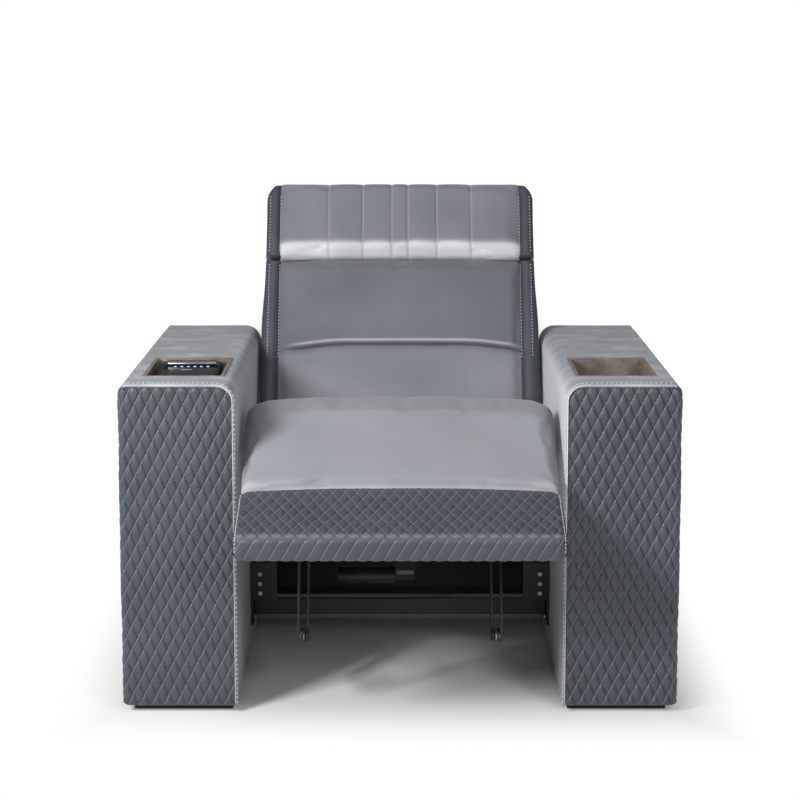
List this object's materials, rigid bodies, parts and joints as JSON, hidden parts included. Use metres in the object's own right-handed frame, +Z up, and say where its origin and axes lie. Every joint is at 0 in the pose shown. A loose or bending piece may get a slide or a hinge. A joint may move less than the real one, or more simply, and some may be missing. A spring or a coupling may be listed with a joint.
{
  "type": "cinema recliner seat",
  "caption": "Powered cinema recliner with box arms, quilted leather fronts, velvet cushions, swing-out footrest, tilting headrest, and boxes in both arms.",
  "frame": {"origin": "on the floor, under the middle of the object's bounding box at rest", "axes": "+Z up, -Y to the front where the footrest is, +X to the right as seen from the front"},
  "size_m": [1.032, 1.245, 0.9256],
  "materials": {
    "velvet": "short pile velvet",
    "slate_leather": "semi-matt grained leather",
    "plywood": "raw birch plywood",
    "walnut_veneer": "satin grey-brown walnut",
    "black_plastic": "matt",
    "black_glass": "gloss",
    "blue_light": "lit",
    "brushed_metal": "brushed",
    "black_steel": "satin black powder coat",
    "webbing": "woven"
  },
  "bodies": {
    "base": {"left_arm_carcass": "plywood", "right_arm_carcass": "plywood", "left_arm_velvet": "velvet", "right_arm_velvet": "velvet", "left_arm_front_quilt": "slate_leather", "right_arm_front_quilt": "slate_leather", "left_arm_leather": "slate_leather", "right_arm_leather": "slate_leather", "arm_skids": "black_plastic", "left_arm_box": "walnut_veneer", "right_arm_box": "walnut_veneer", "console_housing": "black_plastic", "console_glass": "black_glass", "console_icons": "blue_light", "console_hinge_pin": "brushed_metal", "base_front_tube": "black_steel", "base_rear_tube": "black_steel", "base_front_brackets": "black_steel", "base_side_plates": "black_steel", "arm_bolts": "brushed_metal", "tilt_pivot_pins": "brushed_metal"},
    "seat": {"seat_side_rails": "black_steel", "seat_cross_rails": "black_steel", "seat_side_plates": "black_steel", "seat_webbing": "webbing", "seat_cushion": "velvet", "back_pivot_pins": "brushed_metal", "footrest_hinge_lugs": "black_steel", "footrest_hinge_pins": "brushed_metal", "footrest_motor": "black_steel", "recline_motor": "black_steel", "actuator_gearboxes": "black_steel", "actuator_rails": "brushed_metal", "actuator_brackets": "black_steel"},
    "footrest": {"footrest_board": "plywood", "footrest_pad": "velvet", "footrest_band": "slate_leather", "footrest_brackets": "black_steel", "push_link_pins": "brushed_metal"},
    "footrest_crank": {"crank_tube": "black_steel", "crank_arms": "black_steel", "crank_pins": "brushed_metal", "drive_lever": "black_steel"},
    "push_links": {"push_links": "black_steel"},
    "footrest_nut": {"footrest_nut": "brushed_metal"},
    "recline_nut": {"recline_nut": "brushed_metal"},
    "back": {"back_uprights": "black_steel", "back_cross_rails": "black_steel", "back_hinge_plates": "black_steel", "back_webbing": "webbing", "back_lever": "black_steel", "lumbar_cushion": "velvet", "middle_cushion": "velvet", "back_side_boxing": "slate_leather", "back_rear_cover": "slate_leather", "headrest_hinge_base": "brushed_metal"},
    "headrest": {"headrest_board": "plywood", "headrest_pad": "velvet", "headrest_hinge_leaf": "brushed_metal"},
    "console_lid": {"console_lid": "brushed_metal"}
  },
  "joints": [
    {"name": "seat_tilt", "type": "hinge", "parent": "base", "child": "seat", "pos_m": [0, 0.259, 0.25], "axis": [1, 0, 0], "range_deg": [-2.5, 4.5]},
    {"name": "back_recline", "type": "hinge", "parent": "seat", "child": "back", "pos_m": [0, 0.309, 0.395], "axis": [1, 0, 0], "range_deg": [-7.6, 13.6]},
    {"name": "recline_nut_slide", "type": "slide", "parent": "seat", "child": "recline_nut", "axis": [0, 0.9703, -0.2419], "range_m": [-0.02184, 0.03891]},
    {"name": "footrest_swing", "type": "hinge", "parent": "seat", "child": "footrest", "pos_m": [0, -0.2908, 0.42995], "axis": [1, 0, 0], "range_deg": [-8, 66]},
    {"name": "footrest_crank_turn", "type": "hinge", "parent": "seat", "child": "footrest_crank", "pos_m": [0, -0.14525, 0.39366], "axis": [1, 0, 0], "range_deg": [-8.1, 66.1]},
    {"name": "push_link_turn", "type": "hinge", "parent": "footrest_crank", "child": "push_links", "pos_m": [0, -0.24525, 0.11367], "axis": [1, 0, 0], "range_deg": [-66.1, 8.1]},
    {"name": "footrest_nut_slide", "type": "slide", "parent": "seat", "child": "footrest_nut", "axis": [0, 0.9703, -0.2419], "range_m": [-0.01756, 0.14126]},
    {"name": "headrest_tilt", "type": "hinge", "parent": "back", "child": "headrest", "pos_m": [0, 0.44631, 0.75682], "axis": [1, 0, 0], "range_deg": [0, 22]},
    {"name": "console_lid_swing", "type": "hinge", "parent": "base", "child": "console_lid", "pos_m": [-0.402, -0.1125, 0.616], "axis": [1, 0, 0], "range_deg": [0, 165]}
  ],
  "couplings": [
    {"joint": "back_recline", "follows": "seat_tilt", "ratio": 3},
    {"joint": "recline_nut_slide", "follows": "seat_tilt", "m_per_rad": 0.489},
    {"joint": "footrest_crank_turn", "follows": "footrest_swing", "ratio": 1},
    {"joint": "push_link_turn", "follows": "footrest_swing", "ratio": -1},
    {"joint": "footrest_nut_slide", "follows": "footrest_swing", "m_per_rad": 0.1222}
  ]
}
